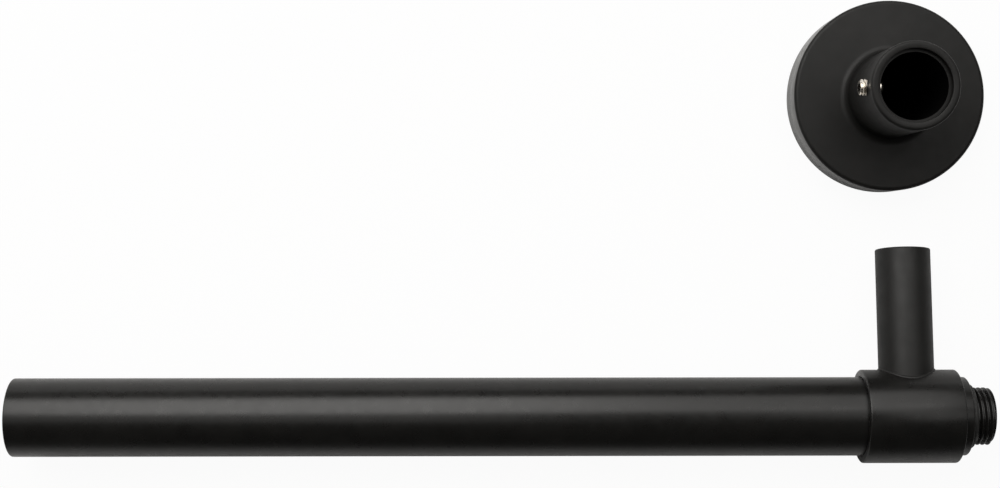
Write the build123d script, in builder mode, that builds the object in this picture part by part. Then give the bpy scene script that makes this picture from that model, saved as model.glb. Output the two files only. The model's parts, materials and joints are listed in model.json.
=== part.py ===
"""Shower arm extension: a wide riser tube with a wall-support collar that turns on it, and the wall flange
that takes the collar's stub.

The arm lies on its side, as it comes to rest on a flat surface: on the edge of its inlet, on the collar
and on the tip of the stub. The wall flange lies beside it on its back, taken off the stub.
+X runs along the tube to the threaded outlet, +Y towards the stub, and Z is up from the surface.
Lengths are in millimetres.
"""

import math
import os

from build123d import *

# Tube, sized round the inserts that are brazed into its ends
insert_wall = 1.75
tube_wall = 1.8
tube_length = 348.0
tube_end_break = 0.4
braze_gap = 0.05

# Half-inch parallel pipe thread, drawn plain at its crests
thread_major_d = 20.955
thread_minor_d = 18.631

# Outlet nipple, brazed into the tube and standing out of its end, with a seal at the root of its thread
nipple_seat_length = 14.0
nipple_bore_d = 15.0
male_thread_length = 7.2
male_thread_lead = 0.9
outlet_seal_section = 1.8
outlet_seal_bore_d = 20.2
seal_side_gap = 0.05

# Inlet socket, brazed into the other end, with its flat washer
socket_recess = 4.0
female_thread_length = 10.0
female_thread_lead = 1.2
washer_seat_d = 21.4
washer_thickness = 2.0
washer_hole_d = 14.4
washer_side_gap = 0.2
socket_ledge = 3.0
socket_bore_d = 14.0

# Support collar: it turns on the tube, held along it by a split ring and gripped by two seals
collar_wall = 2.4
collar_length = 34.5
collar_from_outlet = 3.5
collar_break = 0.6
collar_running_gap = 0.3
collar_seal_section = 1.5
collar_seal_inset = 5.5
collar_seal_tube_gap = 0.1
ring_width = 1.6
ring_groove_depth = 0.7
ring_stand_out = 1.0
ring_split = 4.0

# Support stub, brazed on the collar
stub_od = 20.0
stub_reach = 61.5
stub_end_break = 0.5

# Wall flange
flange_od = 70.0
flange_thickness = 16.0
flange_skin = 3.0
flange_edge_round = 1.5
hub_od = 31.2
hub_height = 37.0
hub_edge_round = 1.1
hub_root_fillet = 3.0
mouth_d = 25.7
mouth_depth = 2.5
mouth_break = 0.3
flange_bore_d = 23.7
flange_web = 6.0
wall_screw_hole_d = 5.2
wall_screw_head_d = 10.0
flange_from_tube = 117.6
flange_behind_stub = 6.0

# Set screw through the hub's wall
set_screw_d = 6.0
set_screw_length = 8.0
set_screw_below_mouth = 8.0
set_screw_tip_from_axis = 10.0
set_screw_thread_gap = 0.05
set_screw_tip_cone = 1.0
set_screw_head_break = 0.4
set_screw_key_flats = 3.0
set_screw_key_depth = 3.0

# Sizes that follow
insert_od = washer_seat_d + 2 * insert_wall
tube_bore_d = insert_od + 2 * braze_gap
tube_od = tube_bore_d + 2 * tube_wall
collar_bore_d = tube_od + 2 * collar_running_gap
collar_od = collar_bore_d + 2 * collar_wall
collar_start = tube_length - collar_from_outlet - collar_length
collar_middle = collar_start + collar_length / 2
stub_along = collar_middle
neck_d = outlet_seal_bore_d - 2 * seal_side_gap
neck_length = outlet_seal_section + 2 * seal_side_gap
outlet_end = tube_length + neck_length + male_thread_length
flange_height = flange_thickness + hub_height
set_screw_height = flange_height - set_screw_below_mouth

# How the arm lies: the inlet's edge and the collar touch the surface, so the tube slopes up a little,
# and the collar is turned until the lower edge of the stub's tip touches it too.
collar_touch = collar_start + collar_break
tube_slope = math.atan2((collar_od - tube_od) / 2, collar_touch - tube_end_break)
inlet_height = tube_od / 2 * math.cos(tube_slope) - tube_end_break * math.sin(tube_slope)
stub_root_height = inlet_height + stub_along * math.sin(tube_slope)
stub_touch = stub_reach - stub_end_break
stub_touch_span = math.hypot(stub_touch, stub_od / 2)
stub_slope = math.asin(stub_root_height / stub_touch_span) - math.atan2(stub_od / 2, stub_touch)
stub_roll = math.asin(math.sin(stub_slope) / math.cos(tube_slope))

# The origin is under the middle of everything that lies there.
flange_along = stub_along - flange_behind_stub
reach_along = max(outlet_end, flange_along + flange_od / 2)
tube_y = -(flange_from_tube + flange_od / 2 - collar_od / 2) / 2
inlet_x = -reach_along / 2
flange_center = (inlet_x + flange_along, tube_y + flange_from_tube, 0)

# Planes that the pieces are drawn on
tube_direction = Vector(math.cos(tube_slope), 0, math.sin(tube_slope))
stub_direction = Vector(
    math.sin(stub_roll) * math.sin(tube_slope),
    math.cos(stub_roll),
    -math.sin(stub_roll) * math.cos(tube_slope),
)
inlet = Plane(origin=(inlet_x, tube_y, inlet_height), x_dir=stub_direction, z_dir=tube_direction)
tube_axis = Axis(inlet.origin, tube_direction)
arm_section = Plane(origin=inlet.origin, x_dir=tube_direction, z_dir=tube_direction.cross(stub_direction))
stub_root = Plane(origin=inlet.offset(stub_along).origin, x_dir=tube_direction, z_dir=stub_direction)
stub_axis = Axis(stub_root.origin, stub_direction)
wall_side = Plane(origin=flange_center)
set_screw_bed = Plane(
    origin=wall_side.offset(set_screw_height).origin, x_dir=(0, 1, 0), z_dir=(-1, 0, 0)
)
set_screw_axis = Axis(set_screw_bed.origin, set_screw_bed.z_dir)

# Extension tube, with a groove for the ring that holds the collar
ring_groove_width = ring_width + 2 * braze_gap
with BuildPart() as extension_tube:
    with BuildSketch(inlet):
        Circle(tube_od / 2)
        Circle(tube_bore_d / 2, mode=Mode.SUBTRACT)
    extrude(amount=tube_length)
    end_edges = extension_tube.edges().filter_by(GeomType.CIRCLE)
    chamfer(end_edges, length=tube_end_break)
    with BuildSketch(inlet.offset(collar_middle - ring_groove_width / 2)):
        Circle(tube_od / 2 + collar_running_gap)
        Circle(tube_od / 2 - ring_groove_depth, mode=Mode.SUBTRACT)
    extrude(amount=ring_groove_width, mode=Mode.SUBTRACT)
extension_tube.part.label = "extension_tube"

# Outlet nipple: a seat in the tube, a neck for the seal and the male thread, with the waterway through them
with BuildPart() as outlet_nipple:
    with BuildSketch(inlet.offset(tube_length - nipple_seat_length)):
        Circle(insert_od / 2)
    extrude(amount=nipple_seat_length)
    with BuildSketch(inlet.offset(tube_length)):
        Circle(neck_d / 2)
    extrude(amount=neck_length)
    with BuildSketch(inlet.offset(tube_length + neck_length)):
        Circle(thread_major_d / 2)
    extrude(amount=male_thread_length)
    chamfer(outlet_nipple.edges().group_by(tube_axis)[-1], length=male_thread_lead)
    with BuildSketch(inlet.offset(tube_length - nipple_seat_length)):
        Circle(nipple_bore_d / 2)
    extrude(amount=outlet_end - tube_length + nipple_seat_length, mode=Mode.SUBTRACT)
outlet_nipple.part.label = "outlet_nipple"

# Outlet seal: a round ring in the neck, between the tube's end and the thread
with BuildPart() as outlet_seal:
    with BuildSketch(arm_section):
        with Locations((tube_length + neck_length / 2, (outlet_seal_bore_d + outlet_seal_section) / 2)):
            Circle(outlet_seal_section / 2)
    revolve(axis=tube_axis)
outlet_seal.part.label = "outlet_seal"

# Inlet socket: a turned insert with a threaded mouth, an undercut seat for the washer and a ledge
washer_seat_start = socket_recess + female_thread_length
washer_seat_end = washer_seat_start + washer_thickness + 2 * washer_side_gap
socket_end = washer_seat_end + socket_ledge
with BuildPart() as inlet_socket:
    with BuildSketch(arm_section):
        with BuildLine():
            Polyline(
                (socket_recess, insert_od / 2),
                (socket_recess, thread_minor_d / 2 + female_thread_lead),
                (socket_recess + female_thread_lead, thread_minor_d / 2),
                (washer_seat_start, thread_minor_d / 2),
                (washer_seat_start, washer_seat_d / 2),
                (washer_seat_end, washer_seat_d / 2),
                (washer_seat_end, socket_bore_d / 2),
                (socket_end, socket_bore_d / 2),
                (socket_end, insert_od / 2),
                close=True,
            )
        make_face()
    revolve(axis=tube_axis)
inlet_socket.part.label = "inlet_socket"

# Flat washer, pressed past the thread and resting on the ledge
with BuildPart() as inlet_washer:
    with BuildSketch(inlet.offset(washer_seat_end - washer_thickness)):
        Circle(washer_seat_d / 2 - washer_side_gap)
        Circle(washer_hole_d / 2, mode=Mode.SUBTRACT)
    extrude(amount=washer_thickness)
inlet_washer.part.label = "inlet_washer"

# Retaining ring: a split ring sprung into the tube's groove, which stands out into the collar's groove
with BuildPart() as retaining_ring:
    with BuildSketch(inlet.offset(collar_middle - ring_width / 2)):
        Circle(tube_od / 2 + ring_stand_out)
        Circle(tube_od / 2 - ring_groove_depth + braze_gap, mode=Mode.SUBTRACT)
        with Locations((-tube_od / 2, 0)):
            Rectangle(tube_od / 2, ring_split, mode=Mode.SUBTRACT)
    extrude(amount=ring_width)
retaining_ring.part.label = "retaining_ring"

# Support collar, with grooves inside for its two seals and for the retaining ring
collar_seal_ring_d = tube_od + 2 * collar_seal_tube_gap + collar_seal_section
seal_groove_d = collar_seal_ring_d + collar_seal_section + 2 * seal_side_gap
seal_groove_width = collar_seal_section + 2 * seal_side_gap
catch_groove_d = tube_od + 2 * ring_stand_out + 2 * collar_running_gap
catch_groove_width = ring_width + 2 * collar_running_gap
inlet_seal_along = collar_start + collar_seal_inset
outlet_seal_along = collar_start + collar_length - collar_seal_inset
with BuildPart() as support_collar:
    with BuildSketch(inlet.offset(collar_start)):
        Circle(collar_od / 2)
        Circle(collar_bore_d / 2, mode=Mode.SUBTRACT)
    extrude(amount=collar_length)
    outer_edges = support_collar.edges().filter_by(GeomType.CIRCLE).sort_by(SortBy.RADIUS)[-2:]
    chamfer(outer_edges, length=collar_break)
    for groove_along in (inlet_seal_along, outlet_seal_along):
        with BuildSketch(inlet.offset(groove_along - seal_groove_width / 2)):
            Circle(seal_groove_d / 2)
        extrude(amount=seal_groove_width, mode=Mode.SUBTRACT)
    with BuildSketch(inlet.offset(collar_middle - catch_groove_width / 2)):
        Circle(catch_groove_d / 2)
    extrude(amount=catch_groove_width, mode=Mode.SUBTRACT)
support_collar.part.label = "support_collar"

# Collar seals, whose grip keeps the collar where it is turned to
with BuildPart() as collar_seal_inlet:
    with BuildSketch(arm_section):
        with Locations((inlet_seal_along, collar_seal_ring_d / 2)):
            Circle(collar_seal_section / 2)
    revolve(axis=tube_axis)
collar_seal_inlet.part.label = "collar_seal_inlet"

with BuildPart() as collar_seal_outlet:
    with BuildSketch(arm_section):
        with Locations((outlet_seal_along, collar_seal_ring_d / 2)):
            Circle(collar_seal_section / 2)
    revolve(axis=tube_axis)
collar_seal_outlet.part.label = "collar_seal_outlet"

# Support stub: a bar whose foot is coped to the collar
with BuildPart() as support_stub:
    with BuildSketch(stub_root):
        Circle(stub_od / 2)
    extrude(amount=stub_reach)
    chamfer(support_stub.edges().group_by(stub_axis)[-1], length=stub_end_break)
    with BuildSketch(inlet.offset(collar_start)):
        Circle(collar_od / 2 + braze_gap)
    extrude(amount=collar_length, mode=Mode.SUBTRACT)
support_stub.part.label = "support_stub"

# Wall flange: a hollow-backed disc with a hub, whose blind socket takes the stub
with BuildPart() as wall_flange:
    with BuildSketch(wall_side):
        Circle(flange_od / 2)
    extrude(amount=flange_thickness)
    fillet(wall_flange.edges().group_by(Axis.Z)[-1], radius=flange_edge_round)
    with BuildSketch(wall_side.offset(flange_thickness)):
        Circle(hub_od / 2)
    extrude(amount=hub_height)
    fillet(wall_flange.edges().group_by(Axis.Z)[-1], radius=hub_edge_round)
    face_edges = wall_flange.edges().filter_by(GeomType.CIRCLE).filter_by_position(
        Axis.Z, flange_thickness, flange_thickness
    )
    fillet(face_edges.sort_by(SortBy.RADIUS)[0], radius=hub_root_fillet)
    with BuildSketch(wall_side):
        Circle(flange_od / 2 - flange_skin)
        Circle(hub_od / 2, mode=Mode.SUBTRACT)
    extrude(amount=flange_thickness - flange_skin, mode=Mode.SUBTRACT)
    with BuildSketch(wall_side.offset(flange_web)):
        Circle(flange_bore_d / 2)
    extrude(amount=flange_height - flange_web, mode=Mode.SUBTRACT)
    with BuildSketch(wall_side.offset(flange_height - mouth_depth)):
        Circle(mouth_d / 2)
    extrude(amount=mouth_depth, mode=Mode.SUBTRACT)
    mouth_edges = wall_flange.edges().filter_by(GeomType.CIRCLE).group_by(Axis.Z)[-1]
    chamfer(mouth_edges.sort_by(SortBy.RADIUS)[0], length=mouth_break)
    with Locations(wall_side.offset(flange_web)):
        CounterSinkHole(wall_screw_hole_d / 2, wall_screw_head_d / 2, depth=flange_web)
    with BuildSketch(set_screw_bed):
        Circle(set_screw_d / 2 + set_screw_thread_gap)
    extrude(amount=hub_od, mode=Mode.SUBTRACT)
wall_flange.part.label = "wall_flange"

# Set screw, backed out of the hub, with its tip in the socket
with BuildPart() as set_screw:
    with BuildSketch(set_screw_bed.offset(set_screw_tip_from_axis)):
        Circle(set_screw_d / 2)
    extrude(amount=set_screw_length)
    chamfer(set_screw.edges().group_by(set_screw_axis)[0], length=set_screw_tip_cone)
    chamfer(set_screw.edges().group_by(set_screw_axis)[-1], length=set_screw_head_break)
    with BuildSketch(set_screw_bed.offset(set_screw_tip_from_axis + set_screw_length)):
        RegularPolygon(set_screw_key_flats / 2, 6, major_radius=False)
    extrude(amount=-set_screw_key_depth, mode=Mode.SUBTRACT)
set_screw.part.label = "set_screw"

# One file for each piece
os.makedirs("parts", exist_ok=True)
pieces = (
    extension_tube,
    outlet_nipple,
    outlet_seal,
    inlet_socket,
    inlet_washer,
    retaining_ring,
    support_collar,
    collar_seal_inlet,
    collar_seal_outlet,
    support_stub,
    wall_flange,
    set_screw,
)
for piece in pieces:
    export_step(piece.part, f"parts/{piece.part.label}.step")

print("tube slope", round(math.degrees(tube_slope), 3), "stub roll", round(math.degrees(stub_roll), 3))
print("inlet", inlet.origin, "tube direction", tube_direction, "stub direction", stub_direction)
print("flange centre", flange_center, "set screw height", set_screw_height)
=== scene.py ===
# %% [markdown]
# # A satin black shower arm extension
# The arm lies on a white table beside its wall flange, seen from straight above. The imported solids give
# every place and size. This lesson dresses them: smooth turned forms, real screw threads, a soft black
# coat and the light of a small studio.

# %% Load the frame
import json
import math

import bmesh
import bpy
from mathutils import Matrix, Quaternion, Vector


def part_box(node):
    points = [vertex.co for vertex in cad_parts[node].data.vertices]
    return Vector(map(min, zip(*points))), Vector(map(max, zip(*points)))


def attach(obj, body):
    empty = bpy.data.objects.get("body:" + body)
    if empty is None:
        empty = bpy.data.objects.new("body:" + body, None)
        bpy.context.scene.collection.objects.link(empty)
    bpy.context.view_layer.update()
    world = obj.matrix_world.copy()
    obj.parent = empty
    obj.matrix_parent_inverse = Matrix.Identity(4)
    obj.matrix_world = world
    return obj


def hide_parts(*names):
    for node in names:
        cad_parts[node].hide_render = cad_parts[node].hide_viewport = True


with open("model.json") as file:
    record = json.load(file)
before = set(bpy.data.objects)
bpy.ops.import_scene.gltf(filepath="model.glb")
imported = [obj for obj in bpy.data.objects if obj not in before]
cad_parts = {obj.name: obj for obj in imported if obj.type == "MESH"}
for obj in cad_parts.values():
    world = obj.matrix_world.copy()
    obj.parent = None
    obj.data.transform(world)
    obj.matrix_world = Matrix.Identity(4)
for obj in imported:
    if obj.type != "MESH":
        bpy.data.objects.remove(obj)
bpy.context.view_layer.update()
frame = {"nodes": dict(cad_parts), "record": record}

MM = 0.001

# %% [markdown]
# The tube slopes up by half a degree, because the collar is wider than the tube and both touch the table.
# The joint of the record lies on the tube's axis, and the tube's box says where the inlet end is. Every
# turned piece of the arm is measured along this axis from the inlet, in millimetres.

# %% Axis of the arm
TUBE_R = 14.3
swivel = frame["record"]["behaviour"]["joints"][0]
TUBE_AXIS = Vector(swivel["axis"]).normalized()
on_axis = Vector(swivel["pos_m"])
inlet_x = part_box("extension_tube")[0][0] + TUBE_R * MM * TUBE_AXIS.z
inlet_centre = on_axis + TUBE_AXIS * (inlet_x - on_axis.x) / TUBE_AXIS.x
print("inlet", inlet_centre, "slope", round(math.degrees(math.asin(TUBE_AXIS.z)), 3))

# %% [markdown]
# Tubes, collars, flanges and screws are turned on a lathe, and Blender's spin is a lathe too: a few
# vertices are the tool's path, and a full spin sweeps them round the axis. The path is closed, so the
# result is a closed shell. A cylinder from the menu could be scaled instead, but it has no bore and no
# grooves. The tube is the first piece: a long bore, and a shallow groove for the ring under the collar.

# %% A lathe, and the tube's blank
def lathe(path, centre, axis, steps=128):
    """Spin a closed path of (along, radius) points, in millimetres, into a closed shell."""
    bm = bmesh.new()
    out = axis.orthogonal().normalized()
    verts = [bm.verts.new(centre + axis * a * MM + out * r * MM) for a, r in path]
    edges = [bm.edges.new(pair) for pair in zip(verts, verts[1:] + verts[:1])]
    bmesh.ops.spin(
        bm, geom=verts + edges, cent=centre, axis=axis, angle=math.tau, steps=steps, use_merge=True
    )
    bmesh.ops.remove_doubles(bm, verts=bm.verts, dist=1e-6)
    on_the_axis = [edge for edge in bm.edges if edge.is_wire]
    bmesh.ops.delete(bm, geom=on_the_axis, context="EDGES")
    bmesh.ops.recalc_face_normals(bm, faces=bm.faces)
    return bm


TUBE_LENGTH = 348.0
BORE_R = 12.5
COLLAR_MIDDLE = 327.25
RING_HALF = 0.85
RING_DEPTH = 0.7
RING_FLOOR_R = TUBE_R - RING_DEPTH
tube_path = [
    (0.0, BORE_R), (0.0, TUBE_R),
    (COLLAR_MIDDLE - RING_HALF, TUBE_R), (COLLAR_MIDDLE - RING_HALF, RING_FLOOR_R),
    (COLLAR_MIDDLE + RING_HALF, RING_FLOOR_R), (COLLAR_MIDDLE + RING_HALF, TUBE_R),
    (TUBE_LENGTH, TUBE_R), (TUBE_LENGTH, BORE_R),
]
tube_blank = lathe(tube_path, inlet_centre, TUBE_AXIS)
print("tube blank", len(tube_blank.faces), "faces")

# %% [markdown]
# No real edge is sharp: a cut end is broken with a file or a chamfer. A bevel does that here. The ring of
# edges is found by where it lies, along the axis and out from it, so no edge has to be picked by number.

# %% Broken edges
def along_and_radius(point, centre, axis):
    """Where a point lies, in millimetres: along an axis, and out from it."""
    offset = point - centre
    along = offset.dot(axis)
    return along / MM, (offset - axis * along).length / MM


def break_edges(bm, corners, width, centre, axis, segments=3):
    """Round the ring edges that lie at the given (along, radius) corners."""
    near = 0.02
    chosen = []
    for edge in bm.edges:
        spots = [along_and_radius(vert.co, centre, axis) for vert in edge.verts]
        for a, r in corners:
            if all(abs(spot[0] - a) < near and abs(spot[1] - r) < near for spot in spots):
                chosen.append(edge)
    bmesh.ops.bevel(
        bm, geom=chosen, offset=width * MM, affect="EDGES", segments=segments, profile=0.5, material=-1
    )
    print("rounded", len(chosen), "edges by", width, "mm")


TUBE_BREAK = 0.4
tube_ends = [(0.0, TUBE_R), (0.0, BORE_R), (TUBE_LENGTH, TUBE_R), (TUBE_LENGTH, BORE_R)]
break_edges(tube_blank, tube_ends, TUBE_BREAK, inlet_centre, TUBE_AXIS)

# %% [markdown]
# Every finish starts as one Principled shader. Values that are the same all over a surface, such as how
# metallic it is, are set on its sockets. Shine is the strength of its plain, uncoloured reflection.
# The arm's own colour comes first: a warm black, given as the share of light that it sends back.

# %% A plain finish
def finish(name, colour, roughness, metallic=0.0, shine=0.5):
    """A material, with its node tree and its shader."""
    material = bpy.data.materials.new(name)
    material.use_nodes = True
    shader = material.node_tree.nodes["Principled BSDF"]
    shader.inputs["Base Color"].default_value = (*colour, 1)
    shader.inputs["Roughness"].default_value = roughness
    shader.inputs["Metallic"].default_value = metallic
    shader.inputs["Specular IOR Level"].default_value = shine
    return material, material.node_tree, shader


BLACK = (0.007, 0.0067, 0.0062)
print("black coat", BLACK)

# %% [markdown]
# No real finish is even. Noise on Object coordinates drives the tone, the gloss and a fine bump, so the
# pattern stays on the metal. An image texture could do the same, but it would need a map of every piece.
# Noise keeps near the middle of its range, so the middle part is spread over the wanted values.

# %% Wandering tone and gloss
GRAIN_SPAN = (0.3, 0.7)


def noise(tree, scale, detail=3.0):
    place = tree.nodes.new("ShaderNodeTexCoord")
    grain = tree.nodes.new("ShaderNodeTexNoise")
    grain.inputs["Scale"].default_value = scale
    grain.inputs["Detail"].default_value = detail
    tree.links.new(place.outputs["Object"], grain.inputs["Vector"])
    return grain.outputs["Fac"]


def vary_tone(tree, shader, grain, dark, light):
    """Let the colour wander between two tones."""
    ramp = tree.nodes.new("ShaderNodeValToRGB")
    for stop, position, tone in zip(ramp.color_ramp.elements, GRAIN_SPAN, (dark, light)):
        stop.position = position
        stop.color = (*tone, 1)
    tree.links.new(grain, ramp.inputs["Fac"])
    tree.links.new(ramp.outputs["Color"], shader.inputs["Base Color"])


def spread(tree, source, span, to_min, to_max):
    """Map a span of values to another, held at both ends."""
    node = tree.nodes.new("ShaderNodeMapRange")
    settings = {"From Min": span[0], "From Max": span[1], "To Min": to_min, "To Max": to_max}
    for socket, value in settings.items():
        node.inputs[socket].default_value = value
    tree.links.new(source, node.inputs["Value"])
    return node.outputs["Result"]


def vary_gloss(tree, shader, grain, smooth, rough):
    """Let the roughness wander between two values."""
    tree.links.new(spread(tree, grain, GRAIN_SPAN, smooth, rough), shader.inputs["Roughness"])


print("noise is spread from", GRAIN_SPAN)

# %% [markdown]
# The coat is a satin black finish baked on metal. It is nearly black itself, so what the eye reads is its
# sheen: a slightly rough skin whose gloss wanders a little, over a very fine orange peel. The stub is a
# little duller than the tube, and thread cutting thins the coat, so the thread is a little glossier.

# %% Black coats
BLACK_DARKER = (0.0055, 0.0053, 0.0049)
BLACK_LIGHTER = (0.009, 0.0086, 0.008)
CLOUD_SCALE = 90
GLOSS_SCALE = 260
PEEL_SCALE = 2600
PEEL_DETAIL = 2.0
PEEL_STRENGTH = 0.12
PEEL_DEPTH = 0.02


def roughen(tree, shader, grain, strength, depth):
    """Raise a fine bump, its depth in millimetres."""
    bump = tree.nodes.new("ShaderNodeBump")
    bump.inputs["Strength"].default_value = strength
    bump.inputs["Distance"].default_value = depth * MM
    tree.links.new(grain, bump.inputs["Height"])
    tree.links.new(bump.outputs["Normal"], shader.inputs["Normal"])


def black_finish(name, smooth, rough, shine):
    """A baked black coat whose gloss wanders between two roughnesses."""
    material, tree, shader = finish(name, BLACK, rough, shine=shine)
    vary_tone(tree, shader, noise(tree, CLOUD_SCALE), BLACK_DARKER, BLACK_LIGHTER)
    vary_gloss(tree, shader, noise(tree, GLOSS_SCALE), smooth, rough)
    peel = noise(tree, PEEL_SCALE, PEEL_DETAIL)
    roughen(tree, shader, peel, PEEL_STRENGTH, PEEL_DEPTH)
    print("finish", name)
    return material


tube_coat = black_finish("satin_black_tube_coat", 0.26, 0.33, 0.38)
stub_coat = black_finish("soft_black_stub_coat", 0.47, 0.56, 0.37)
thread_coat = black_finish("thin_black_thread_coat", 0.24, 0.32, 0.45)

# %% [markdown]
# A finished piece is shaded smooth, apart from its sharp edges, and hangs on the body that carries it. The
# solid that it stands for is hidden, and stays for the physics.

# %% Extension tube
SHARP_ANGLE = 0.7


def piece(bm, name, body, nodes, materials, sharp_angle=SHARP_ANGLE):
    """Make the finished object, hang it on its body and give it its coat."""
    bm.normal_update()
    for face in bm.faces:
        face.smooth = True
    for edge in bm.edges:
        if len(edge.link_faces) == 2 and edge.calc_face_angle(0) > sharp_angle:
            edge.smooth = False
    mesh = bpy.data.meshes.new(name)
    bm.to_mesh(mesh)
    bm.free()
    for material in materials:
        mesh.materials.append(material)
    obj = bpy.data.objects.new(name, mesh)
    bpy.context.scene.collection.objects.link(obj)
    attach(obj, body)
    if nodes:
        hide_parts(*nodes)
    print(name, len(mesh.polygons), "faces")


piece(tube_blank, "extension_tube_smooth", "extension", ["extension_tube"], [tube_coat])

# %% [markdown]
# The collar is a short sleeve. It runs on the tube with a thin gap, which shows as a dark line at its end,
# and hides two seals and the retaining ring in grooves of its bore. One path takes the outside first and
# then comes back through the grooves.

# %% Support collar
COLLAR_R = 17.0
COLLAR_BORE_R = 14.6
COLLAR_START = 310.0
COLLAR_END = 344.5
START_ROUND = 0.6
END_ROUND = 0.4
SEAL_INSET = 5.5
seal_places = {"inlet": COLLAR_START + SEAL_INSET, "outlet": COLLAR_END - SEAL_INSET}
SEAL_GROOVE = (0.8, 15.95)
RING_GROOVE = (1.1, 15.6)
collar_path = [
    (COLLAR_START, COLLAR_BORE_R), (COLLAR_START, COLLAR_R),
    (COLLAR_END, COLLAR_R), (COLLAR_END, COLLAR_BORE_R),
]
grooves = [
    (seal_places["outlet"], SEAL_GROOVE),
    (COLLAR_MIDDLE, RING_GROOVE),
    (seal_places["inlet"], SEAL_GROOVE),
]
for middle, (half, floor_r) in grooves:
    collar_path += [(middle + half, COLLAR_BORE_R), (middle + half, floor_r)]
    collar_path += [(middle - half, floor_r), (middle - half, COLLAR_BORE_R)]
bm = lathe(collar_path, inlet_centre, TUBE_AXIS)
break_edges(bm, [(COLLAR_START, COLLAR_R)], START_ROUND, inlet_centre, TUBE_AXIS)
break_edges(bm, [(COLLAR_END, COLLAR_R)], END_ROUND, inlet_centre, TUBE_AXIS)
piece(bm, "support_collar_smooth", "bracket", ["support_collar"], [tube_coat])

# %% [markdown]
# The stub stands off the collar's side and leans down until its end rests on the table. Its direction is
# built from the tube's axis, so that the two stay square to each other.

# %% Direction of the stub
STUB_LEAN = math.radians(6.793)
side = Vector((0, 1, 0))
arm_up = TUBE_AXIS.cross(side).normalized()
STUB_AXIS = (side * math.cos(STUB_LEAN) - arm_up * math.sin(STUB_LEAN)).normalized()
across_stub = TUBE_AXIS.cross(STUB_AXIS).normalized()
stub_root = inlet_centre + TUBE_AXIS * COLLAR_MIDDLE * MM
print("stub points to", STUB_AXIS)

# %% [markdown]
# The stub is a round bar whose foot is coped, cut hollow, to sit on the collar. A boolean could cut it,
# but it leaves long thin faces. So a plain bar is spun, and its foot is drawn up to the collar's round: a
# point that stands off to the side of the collar's crown sinks by the collar's own curve.

# %% Support stub
STUB_R = 10.0
STUB_REACH = 61.5
STUB_FOOT = 15.0
STUB_BREAK = 0.5
FOOT_SPAN = 1.0
FOOT_GAP = 0.05
SMALL_STEPS = 96


def saddle_height(point, gap):
    """How far from the tube's axis, along the stub, the collar's skin lies under a point of the stub."""
    sideways = (point - stub_root).dot(across_stub) / MM
    return math.sqrt((COLLAR_R + gap) ** 2 - sideways**2)


stub_path = [(STUB_FOOT, 0.0), (STUB_FOOT, STUB_R), (STUB_REACH, STUB_R), (STUB_REACH, 0.0)]
bm = lathe(stub_path, stub_root, STUB_AXIS, SMALL_STEPS)
for vert in bm.verts:
    along = along_and_radius(vert.co, stub_root, STUB_AXIS)[0]
    if along < STUB_FOOT + FOOT_SPAN:
        vert.co += STUB_AXIS * (saddle_height(vert.co, FOOT_GAP) - along) * MM
break_edges(bm, [(STUB_REACH, STUB_R)], STUB_BREAK, stub_root, STUB_AXIS)
piece(bm, "support_stub_smooth", "bracket", ["support_stub"], [stub_coat])

# %% [markdown]
# A brazed joint leaves a small even fillet. A thin ring is spun round the stub and each of its points is
# then lifted on to the collar, so the ring follows the saddle line.

# %% Brazed fillet at the saddle
def spin_ring(section_points, start, radial, axis, centre, section_r, stretch=1.0):
    """Spin a circle, set out along a radial direction and stretched along the axis, into a ring."""
    bm = bmesh.new()
    bmesh.ops.create_circle(bm, segments=section_points, radius=section_r * MM)
    for vert in bm.verts:
        vert.co = start + radial * vert.co.x + axis * vert.co.y * stretch
    bmesh.ops.spin(
        bm, geom=bm.verts[:] + bm.edges[:], cent=centre, axis=axis, angle=math.tau, steps=SMALL_STEPS,
        use_merge=True,
    )
    return bm


FILLET_R = 0.45
FILLET_POINTS = 10
fillet_start = stub_root + TUBE_AXIS * STUB_R * MM
bm = spin_ring(FILLET_POINTS, fillet_start, TUBE_AXIS, STUB_AXIS, stub_root, FILLET_R)
for vert in bm.verts:
    vert.co += STUB_AXIS * saddle_height(vert.co, 0.0) * MM
bmesh.ops.recalc_face_normals(bm, faces=bm.faces)
piece(bm, "saddle_fillet", "bracket", (), [stub_coat])

# %% [markdown]
# A screw thread is a ridge wound round a core. Spin takes a step along the axis with each step of turn,
# so one small trapezium, spun several turns, winds the whole ridge. Its foot reaches a little into the
# core, so that no gap shows. All its widths are shares of the pitch.

# %% A wound ridge
THREAD_STEPS = 40
RIDGE_FOOT = 0.46
RIDGE_TOP = 0.09


def wind_ridge(bm, centre, axis, start, turns, pitch, sunk, crest):
    """Wind a closed helical ridge and return its vertices."""
    core = set(bm.verts)
    out = axis.orthogonal().normalized()
    outline = [(-RIDGE_FOOT, sunk), (-RIDGE_TOP, crest), (RIDGE_TOP, crest), (RIDGE_FOOT, sunk)]
    verts = [bm.verts.new(centre + axis * (start + a * pitch) * MM + out * r * MM) for a, r in outline]
    first = [bm.edges.new(pair) for pair in zip(verts, verts[1:] + verts[:1])]
    wound = bmesh.ops.spin(
        bm, geom=verts + first, cent=centre, axis=axis, dvec=axis * pitch * MM / THREAD_STEPS,
        angle=math.tau * turns, steps=round(turns * THREAD_STEPS),
    )
    last = [item for item in wound["geom_last"] if isinstance(item, bmesh.types.BMEdge)]
    bmesh.ops.edgeloop_fill(bm, edges=first)
    bmesh.ops.edgeloop_fill(bm, edges=last)
    return [vert for vert in bm.verts if vert not in core]


print("ridge takes", 2 * RIDGE_FOOT, "of the pitch at its foot and", 2 * RIDGE_TOP, "at its top")

# %% [markdown]
# The ridge starts by rising out of the core. At the other end it sinks back, or it is cut off flat at the
# end of the screw, as on a thread that was cut on bar. There a trim lowers it for the chamfer. A crest
# inside the root makes a female thread.

# %% A finished thread
RIDGE_SUNK = 0.12
RUN_OUT = 0.5


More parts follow.
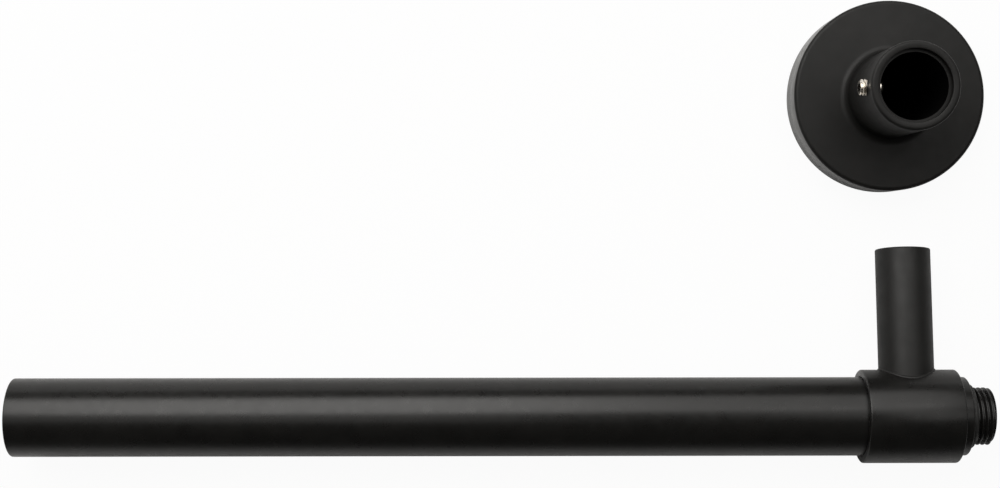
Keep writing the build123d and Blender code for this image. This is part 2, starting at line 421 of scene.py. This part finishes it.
def cut_ridge(bm, ridge, point, axis):
    """Cut the ridge off flat at a point and close the cut."""
    edges = list({edge for vert in ridge for edge in vert.link_edges})
    faces = list({face for vert in ridge for face in vert.link_faces})
    bmesh.ops.bisect_plane(bm, geom=ridge + edges + faces, plane_co=point, plane_no=axis, clear_outer=True)
    bmesh.ops.holes_fill(bm, edges=[edge for edge in bm.edges if edge.is_boundary])


def wind_thread(bm, centre, axis, start, turns, pitch, root, crest, trim=None, cut=None):
    """Add a thread to a core, from the root radius to the crest."""
    sunk = root - RIDGE_SUNK * (crest - root)
    ridge = wind_ridge(bm, centre, axis, start, turns, pitch, sunk, crest)
    finish_at = start + turns * pitch
    for vert in ridge:
        along, radius = along_and_radius(vert.co, centre, axis)
        rise = (along - start) / (RUN_OUT * pitch)
        fall = 1.0 if cut else (finish_at - along) / (RUN_OUT * pitch)
        wanted = sunk + (radius - sunk) * max(0.0, min(1.0, rise, fall))
        if trim:
            wanted = min(wanted, trim(along))
        foot = centre + axis * along * MM
        vert.co = foot + (vert.co - foot).normalized() * wanted * MM
    if cut:
        cut_ridge(bm, ridge, centre + axis * cut * MM, axis)
    bmesh.ops.recalc_face_normals(bm, faces=bm.faces)
    print("thread of", turns, "turns, crest radius", crest)


print("ridge runs out over", RUN_OUT, "of a pitch")

# %% [markdown]
# The outlet nipple is turned from bar: a seat inside the tube, a neck for the round seal, and a half-inch
# parallel pipe thread with a pitch of 1.814 millimetres. Its end is chamfered so that it starts easily.

# %% Outlet nipple
PITCH = 1.814
THREAD_CREST = 10.4775
THREAD_ROOT = 9.3155
SEAT_START = 334.0
SEAT_R = 12.45
NECK_R = 10.05
NECK_END = 349.9
OUTLET_END = 357.1
OUTLET_BORE_R = 7.5
OUTLET_BREAK = 0.3
nipple_path = [
    (SEAT_START, OUTLET_BORE_R), (SEAT_START, SEAT_R), (TUBE_LENGTH, SEAT_R), (TUBE_LENGTH, NECK_R),
    (NECK_END, NECK_R), (NECK_END, THREAD_ROOT), (OUTLET_END, THREAD_ROOT), (OUTLET_END, OUTLET_BORE_R),
]
bm = lathe(nipple_path, inlet_centre, TUBE_AXIS, SMALL_STEPS)
break_edges(bm, [(OUTLET_END, OUTLET_BORE_R)], OUTLET_BREAK, inlet_centre, TUBE_AXIS)

# %% [markdown]
# The thread runs off the end of the bar, so its ridge is cut a hair short of the end face. Where the ridge
# rises out of the core its edges are blunt, and a lower limit than for other pieces keeps them crisp.

# %% Outlet thread
OUTLET_TURNS = 4.6
OUTLET_LEAD = 0.6
CUT_BACK = 0.02
THREAD_SHARP_ANGLE = 0.5


def outlet_chamfer(along):
    return THREAD_CREST - max(0.0, along - (OUTLET_END - OUTLET_LEAD))


wind_thread(
    bm, inlet_centre, TUBE_AXIS, NECK_END, OUTLET_TURNS, PITCH, THREAD_ROOT, THREAD_CREST,
    trim=outlet_chamfer, cut=OUTLET_END - CUT_BACK,
)
piece(
    bm, "outlet_nipple_threaded", "extension", ["outlet_nipple"], [thread_coat],
    THREAD_SHARP_ANGLE,
)

# %% [markdown]
# The seals are rings of black rubber: dull, hardly lighter than black, with a fine moulded skin.

# %% Rubber
rubber, tree, shader = finish("seal_rubber", (0.012, 0.012, 0.012), 0.6)
vary_gloss(tree, shader, noise(tree, 700), 0.52, 0.7)
vary_tone(tree, shader, noise(tree, 300), (0.010, 0.010, 0.010), (0.017, 0.017, 0.016))
roughen(tree, shader, noise(tree, 3000), 0.2, 0.03)
print("finish", rubber.name)

# %% [markdown]
# A circle spun round the axis makes each seal. The one at the thread's root is squeezed by its neighbours
# and is a little wider than tall.

# %% Round seals
OUTLET_SEAL = (349.15, 11.0, 0.9)
OUTLET_SQUEEZE = 1.25
COLLAR_SEAL = (15.15, 0.75)
SEAL_POINTS = 20


def round_seal(name, along, ring_r, section_r, body, node, stretch=1.0):
    out = TUBE_AXIS.orthogonal().normalized()
    middle = inlet_centre + TUBE_AXIS * along * MM
    start = middle + out * ring_r * MM
    bm = spin_ring(SEAL_POINTS, start, out, TUBE_AXIS, middle, section_r, stretch)
    bmesh.ops.recalc_face_normals(bm, faces=bm.faces)
    piece(bm, name, body, [node], [rubber])


round_seal("outlet_seal_round", *OUTLET_SEAL, "extension", "outlet_seal", OUTLET_SQUEEZE)
for end, along in seal_places.items():
    round_seal(f"collar_seal_{end}_round", along, *COLLAR_SEAL, "bracket", f"collar_seal_{end}")

# %% [markdown]
# The inlet is a bare brass socket brazed into the tube. Brass is a metal with a warm colour of its own, so
# it gets a metallic shader rather than a yellow paint.

# %% Brass
brass, tree, shader = finish("turned_brass", (0.65, 0.46, 0.20), 0.3, 1.0)
vary_gloss(tree, shader, noise(tree, 500), 0.24, 0.42)
vary_tone(tree, shader, noise(tree, 200), (0.58, 0.40, 0.17), (0.72, 0.53, 0.25))
print("finish", brass.name)

# %% [markdown]
# The socket's thread is cut inside a bore, so the same winder turns a ridge inwards, from the wide wall
# to the narrow crest. Behind it are the washer's seat and a ledge that stops the washer.

# %% Inlet socket with its thread
INLET_RECESS = 4.0
INLET_THREAD_END = 14.0
INLET_GROOVE_R = 10.6
INLET_LEAD = 0.9
INLET_TURNS = 4.5
WASHER_SEAT_R = 10.7
WASHER_SEAT_END = 16.4
LEDGE_R = 7.0
SOCKET_END = 19.4
socket_path = [
    (INLET_RECESS, SEAT_R), (INLET_RECESS, INLET_GROOVE_R), (INLET_THREAD_END, INLET_GROOVE_R),
    (INLET_THREAD_END, WASHER_SEAT_R), (WASHER_SEAT_END, WASHER_SEAT_R), (WASHER_SEAT_END, LEDGE_R),
    (SOCKET_END, LEDGE_R), (SOCKET_END, SEAT_R),
]
bm = lathe(socket_path, inlet_centre, TUBE_AXIS, SMALL_STEPS)
wind_thread(
    bm, inlet_centre, TUBE_AXIS, INLET_RECESS + INLET_LEAD, INLET_TURNS, PITCH, INLET_GROOVE_R, THREAD_ROOT
)
piece(
    bm, "inlet_socket_threaded", "extension", ["inlet_socket"], [brass],
    THREAD_SHARP_ANGLE,
)

# %% [markdown]
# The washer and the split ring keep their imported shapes, which are already right, and only take a finish.
# The ring is undyed nylon: pale and half dull.

# %% Washer and retaining ring
nylon, tree, shader = finish("natural_nylon", (0.72, 0.70, 0.64), 0.5)
vary_gloss(tree, shader, noise(tree, 400), 0.42, 0.6)
vary_tone(tree, shader, noise(tree, 250), (0.66, 0.64, 0.58), (0.76, 0.74, 0.69))
for node, material in (("inlet_washer", rubber), ("retaining_ring", nylon)):
    packed_mesh = frame["nodes"][node].data
    packed_mesh.materials.clear()
    packed_mesh.materials.append(material)
    print(node, "takes", material.name)

# %% [markdown]
# The wall flange is one turned piece: a disc with a softly rounded rim, a tall hub with a fillet at its
# root, and a socket with a stepped mouth and a web at its bottom, through which the wall screw goes. Its
# back is hollow, with the hub and the rim reaching the wall. The path goes once round that section.

# %% Wall flange blank
FLANGE_R = 35.0
FLANGE_SKIN = 3.0
FACE = 16.0
HUB_R = 15.6
HUB_TOP = 53.0
MOUTH_R = 12.85
MOUTH_FLOOR = 50.5
SOCKET_R = 11.85
WEB = 6.0
SCREW_HOLE_R = 2.6
SINK_R = 5.0
SINK_FLOOR = 3.24
FLANGE_STEPS = 160
UP = Vector((0, 0, 1))
low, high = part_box("wall_flange")
flange_centre = Vector(((low[0] + high[0]) / 2, (low[1] + high[1]) / 2, 0))
flange_path = [
    (0.0, SCREW_HOLE_R), (0.0, HUB_R), (FACE - FLANGE_SKIN, HUB_R),
    (FACE - FLANGE_SKIN, FLANGE_R - FLANGE_SKIN), (0.0, FLANGE_R - FLANGE_SKIN),
    (0.0, FLANGE_R), (FACE, FLANGE_R), (FACE, HUB_R), (HUB_TOP, HUB_R), (HUB_TOP, MOUTH_R),
    (MOUTH_FLOOR, MOUTH_R), (MOUTH_FLOOR, SOCKET_R), (WEB, SOCKET_R), (WEB, SINK_R),
    (SINK_FLOOR, SCREW_HOLE_R),
]
flange_blank = lathe(flange_path, flange_centre, UP, FLANGE_STEPS)
print("flange at", flange_centre)

# %% [markdown]
# Bevels round the corners that show. The bevel at the hub's root fills a hollow corner, so there it
# makes a fillet. Each row gives the corners, the width of the round and its number of facets.

# %% Rounds of the flange
flange_rounds = [
    ([(FACE, FLANGE_R)], 1.5, 6),
    ([(FACE, HUB_R)], 3.0, 7),
    ([(HUB_TOP, HUB_R)], 1.1, 6),
    ([(HUB_TOP, MOUTH_R), (0.0, FLANGE_R)], 0.3, 2),
]
for corners, width, facets in flange_rounds:
    break_edges(flange_blank, corners, width, flange_centre, UP, facets)

# %% [markdown]
# The coat differs over the flange. Its face is the dullest. The rim was turned finer and shines a little
# more. The socket's inside is painted near black with almost no shine, a painted shade for the dark bore.
# One mesh can carry several materials, so each face is given the number of its own.

# %% Wall flange
face_coat = black_finish("dull_black_face_coat", 0.44, 0.53, 0.29)
rim_coat = black_finish("fine_black_rim_coat", 0.20, 0.27, 0.60)
# painted shade: a near-black, almost shineless finish stands for the shade inside the socket
painted_shade_socket_black, tree, shader = finish("painted_shade_socket_black", (0.0012, 0.0012, 0.0012), 0.9, shine=0.03)
vary_tone(tree, shader, noise(tree, 300), (0.0008, 0.0008, 0.0008), (0.0018, 0.0018, 0.0018))
RIM_COAT = 1
SOCKET_PAINTED_SHADE = 2
COAT_SLACK = 0.05
END_SLACK = 0.1
for face in flange_blank.faces:
    height, radius = along_and_radius(face.calc_center_median(), flange_centre, UP)
    if radius > FLANGE_R - COAT_SLACK:
        face.material_index = RIM_COAT
    # painted shade: the socket's inner faces take the near-black finish
    if END_SLACK < height < MOUTH_FLOOR + END_SLACK and radius < SOCKET_R + COAT_SLACK:
        face.material_index = SOCKET_PAINTED_SHADE
flange_coats = [face_coat, rim_coat, painted_shade_socket_black]
piece(flange_blank, "wall_flange_smooth", "extension", ["wall_flange"], flange_coats)

# %% [markdown]
# The set screw is a small headless screw of bright nickel-plated steel, with a fine thread, a hexagon for
# its key at the outer end and a plain, coned tip. It is spun like the rest, but its path stays open at the
# outer end, which is left for the hexagon.

# %% Set screw blank
SCREW_HEIGHT = 45.0
SCREW_TIP = 10.0
SCREW_END = 18.0
SCREW_ROOT = 2.45
TIP_R = 1.9
TIP_CONE = 0.8
SCREW_STEPS = 48
SCREW_AXIS = Vector((-1, 0, 0))
screw_centre = flange_centre + UP * SCREW_HEIGHT * MM
screw_path = [
    (SCREW_TIP, 0.0), (SCREW_TIP, TIP_R), (SCREW_TIP + TIP_CONE, SCREW_ROOT), (SCREW_END, SCREW_ROOT),
]
bm = bmesh.new()
verts = [bm.verts.new(screw_centre + SCREW_AXIS * a * MM + UP * r * MM) for a, r in screw_path]
edges = [bm.edges.new(pair) for pair in zip(verts, verts[1:])]
bmesh.ops.spin(
    bm, geom=verts + edges, cent=screw_centre, axis=SCREW_AXIS, angle=math.tau, steps=SCREW_STEPS,
    use_merge=True,
)
bmesh.ops.remove_doubles(bm, verts=bm.verts, dist=1e-6)
print("screw blank", len(bm.faces), "faces")

# %% [markdown]
# The key's hexagon is a circle of six sides. Each side is divided, so that the hexagon has as many points
# as the round rim of the screw and can be bridged to it. Then it is pushed in and closed.

# %% Hexagon for the key
KEY_R = 1.73
KEY_DEPTH = 3.0
rim = [edge for edge in bm.edges if edge.is_boundary]
hexagon = bmesh.ops.create_circle(bm, segments=6, radius=KEY_R * MM)["verts"]
sides = list({edge for vert in hexagon for edge in vert.link_edges})
bmesh.ops.subdivide_edges(bm, edges=sides, cuts=SCREW_STEPS // 6 - 1)
for vert in bm.verts:
    if vert.is_wire:
        vert.co = screw_centre + SCREW_AXIS * SCREW_END * MM + Vector((0, vert.co.x, vert.co.y))
bmesh.ops.bridge_loops(bm, edges=rim + [edge for edge in bm.edges if edge.is_wire])
mouth = [edge for edge in bm.edges if edge.is_boundary]
pushed = bmesh.ops.extrude_edge_only(bm, edges=mouth)["geom"]
pushed_verts = [item for item in pushed if isinstance(item, bmesh.types.BMVert)]
bmesh.ops.translate(bm, verts=pushed_verts, vec=SCREW_AXIS * -KEY_DEPTH * MM)
bmesh.ops.holes_fill(bm, edges=[edge for edge in bm.edges if edge.is_boundary])
bmesh.ops.recalc_face_normals(bm, faces=bm.faces)
print("key hexagon", len(pushed_verts), "points round")

# %% [markdown]
# Nickel is a metal with a faint warm tint and a bright, fairly sharp reflection. The thread stops short of
# the tip, which is plain so that it bears on the stub.

# %% Set screw with its thread
nickel, tree, shader = finish("bright_nickel", (0.90, 0.83, 0.74), 0.28, 1.0)
vary_gloss(tree, shader, noise(tree, 900), 0.18, 0.28)
vary_tone(tree, shader, noise(tree, 400), (0.86, 0.79, 0.69), (0.95, 0.90, 0.82))

SCREW_CREST = 3.0
SCREW_PITCH = 1.0
SCREW_TURNS = 7.4
SCREW_LEAD = 0.5
PLAIN_TIP = 1.6


def screw_chamfer(along):
    return SCREW_CREST - max(0.0, along - (SCREW_END - SCREW_LEAD))


wind_thread(
    bm, screw_centre, SCREW_AXIS, SCREW_TIP + PLAIN_TIP, SCREW_TURNS, SCREW_PITCH, SCREW_ROOT, SCREW_CREST,
    trim=screw_chamfer, cut=SCREW_END - CUT_BACK,
)
piece(bm, "set_screw_threaded", "extension", ["set_screw"], [nickel], THREAD_SHARP_ANGLE)

# %% [markdown]
# The table is a wide disc, far larger than the view, so that its edge doesn't show.

# %% White table
TABLE_R = 8.0
bm = bmesh.new()
bmesh.ops.create_circle(bm, cap_ends=True, segments=64, radius=TABLE_R)
mesh = bpy.data.meshes.new("table")
bm.to_mesh(mesh)
bm.free()
table = bpy.data.objects.new("table", mesh)
bpy.context.scene.collection.objects.link(table)
print("table", tuple(table.dimensions))

# %% [markdown]
# A pure white background would need so much light that the black coat turned grey. So a ray from the
# camera sees most of the table as plain white, glossy surfaces see a little of it, and the rest of what is
# seen is the lit table itself, which keeps its soft shadow.

# %% Who sees the white
def calculate(tree, operation, one, other):
    """A Math node; each input is a socket or a plain number."""
    node = tree.nodes.new("ShaderNodeMath")
    node.operation = operation
    for source, socket in zip((one, other), node.inputs):
        if isinstance(source, float):
            socket.default_value = source
        else:
            tree.links.new(source, socket)
    return node.outputs[0]


def share_of_white(tree, to_camera, to_gloss):
    """How much of plain white a ray sees: camera and see-through rays one share, glossy rays another."""
    rays = tree.nodes.new("ShaderNodeLightPath").outputs
    straight = calculate(tree, "MAXIMUM", rays["Is Camera Ray"], rays["Is Transmission Ray"])
    straight = calculate(tree, "MULTIPLY", straight, to_camera)
    glossy = calculate(tree, "MULTIPLY", rays["Is Glossy Ray"], to_gloss)
    return calculate(tree, "MAXIMUM", straight, glossy)


def mix_shaders(tree, share, one, other):
    """One shader where the share is 0, the other where it is 1."""
    mixed = tree.nodes.new("ShaderNodeMixShader")
    tree.links.new(share, mixed.inputs["Fac"])
    tree.links.new(one.outputs[0], mixed.inputs[1])
    tree.links.new(other.outputs[0], mixed.inputs[2])
    return mixed.outputs[0]


TABLE_SHARES = (0.95, 0.04)
print("white seen by camera and gloss", TABLE_SHARES)

# %% [markdown]
# The lit table's colour is painted darker on the near side, a painted shade, and this is what the lower
# side of the tube reflects. Under the flange the table's colour and its white are painted black, a painted
# shadow, or the table would show through the screw hole.

# %% Table finish
TABLE_TONE = 0.85
PAINTED_SHADE_TONE = 0.35
PAINTED_SHADE_SPAN = (-0.30, -0.03)
PAINTED_SHADOW_R = FLANGE_R - 1.0
table_white, tree, shader = finish("table_white", (TABLE_TONE,) * 3, 0.9, shine=0.0)
glow = tree.nodes.new("ShaderNodeEmission")
place = tree.nodes.new("ShaderNodeTexCoord")
from_flange = tree.nodes.new("ShaderNodeVectorMath")
from_flange.operation = "DISTANCE"
from_flange.inputs[1].default_value = flange_centre
tree.links.new(place.outputs["Object"], from_flange.inputs[0])
# painted shadow: under the flange the table's colour and its white are set to black
outside_painted_shadow = calculate(tree, "GREATER_THAN", from_flange.outputs["Value"], PAINTED_SHADOW_R * MM)
spot = tree.nodes.new("ShaderNodeSeparateXYZ")
tree.links.new(place.outputs["Object"], spot.inputs[0])
# painted shade: the table's colour darkens towards the near side
tone = spread(tree, spot.outputs["Y"], PAINTED_SHADE_SPAN, PAINTED_SHADE_TONE, TABLE_TONE)
tree.links.new(calculate(tree, "MULTIPLY", outside_painted_shadow, tone), shader.inputs["Base Color"])
seen = calculate(tree, "MULTIPLY", share_of_white(tree, *TABLE_SHARES), outside_painted_shadow)
tree.links.new(mix_shaders(tree, seen, shader, glow), tree.nodes["Material Output"].inputs["Surface"])
table.data.materials.append(table_white)
print("finish", table_white.name)

# %% [markdown]
# A long soft box hangs on the flange's side of the tube, turned a little so that its right end is lower
# and further out. A second box strengthens the left, and a weak glow overhead softens the lower edge of
# the bright band. The last lamp lifts the flange's face. A bare bulb would give hard glints instead.

# %% Soft boxes
LAMP_COLOUR = (1.0, 0.985, 0.96)


def soft_box(name, place, aim, size, power, turn=0.0):
    """A rectangular lamp that faces a point, turned about the line to it."""
    lamp = bpy.data.lights.new(name, "AREA")
    lamp.shape = "RECTANGLE"
    lamp.size, lamp.size_y = size
    lamp.energy = power
    lamp.color = LAMP_COLOUR
    obj = bpy.data.objects.new(name, lamp)
    bpy.context.scene.collection.objects.link(obj)
    obj.location = place
    facing = (Vector(aim) - Vector(place)).to_track_quat("-Z", "Y")
    obj.rotation_euler = (facing @ Quaternion((0, 0, 1), turn)).to_euler()
    print("lamp", name, power, "W")


soft_box("long_soft_box", (-0.125, 0.697, 0.862), (-0.125, -0.06, 0.0), (1.95, 0.92), 9.4, turn=0.25)
soft_box("left_soft_box", (-0.55, 0.655, 0.868), (-0.55, -0.06, 0.0), (1.1, 1.0), 8.2)
soft_box("ceiling_glow", (-0.48, 0.06, 1.0), (-0.48, 0.06, 0.0), (0.8, 0.6), 1.1)
soft_box("overhead_fill", (0.46, 0.22, 1.0), (0.14, 0.05, 0.0), (0.7, 0.48), 1.3)

# %% [markdown]
# The rest of the room is dim, which leaves the lower half of the tube almost black. It is a little lighter
# near the horizon, where a real room has pale walls. The camera sees plain white beyond the table's edge.

# %% Dim room
ROOM_LOW = (0.16, 0.158, 0.154, 1)
ROOM_HIGH = (0.036, 0.035, 0.033, 1)
ROOM_SPAN = (0.03, 0.16)
ROOM_SHARES = (1.0, 0.01)
world = bpy.data.worlds.new("dim_room")
bpy.context.scene.world = world
world.use_nodes = True
tree = world.node_tree
dim = tree.nodes["Background"]
place = tree.nodes.new("ShaderNodeTexCoord")
direction = tree.nodes.new("ShaderNodeSeparateXYZ")
tree.links.new(place.outputs["Generated"], direction.inputs[0])
room = tree.nodes.new("ShaderNodeValToRGB")
for stop, height, tone in zip(room.color_ramp.elements, ROOM_SPAN, (ROOM_LOW, ROOM_HIGH)):
    stop.position = height
    stop.color = tone
tree.links.new(direction.outputs["Z"], room.inputs["Fac"])
tree.links.new(room.outputs["Color"], dim.inputs["Color"])
white = tree.nodes.new("ShaderNodeBackground")
white.inputs["Color"].default_value = (1, 1, 1, 1)
seen = share_of_white(tree, *ROOM_SHARES)
tree.links.new(mix_shaders(tree, seen, dim, white), tree.nodes["World Output"].inputs["Surface"])
bpy.context.scene.view_settings.view_transform = "Standard"
print("room", world.name)

# %% [markdown]
# The camera looks straight down from about 60 centimetres. Its place and its tiny tilt come from fitting
# the known sizes of the arm and the flange to where they lie in the picture.

# %% Camera
FOCAL_PIXELS = 1617.8
IMAGE_WIDTH = 1000
CAMERA_PLACE = Vector((-5.717, -5.945, 608.34))
CAMERA_TILT = Vector((0.0024, -0.0089, -0.0015))
lens = bpy.data.cameras.new("overhead")
lens.sensor_fit = "HORIZONTAL"
lens.sensor_width = 36.0
lens.clip_start = 0.01
lens.lens = FOCAL_PIXELS / IMAGE_WIDTH * lens.sensor_width
camera = bpy.data.objects.new("overhead", lens)
bpy.context.scene.collection.objects.link(camera)
camera.location = CAMERA_PLACE * MM
camera.rotation_euler = Quaternion(CAMERA_TILT.normalized(), CAMERA_TILT.length).to_euler()
bpy.context.scene.camera = camera
print("lens", round(lens.lens, 2), "mm")
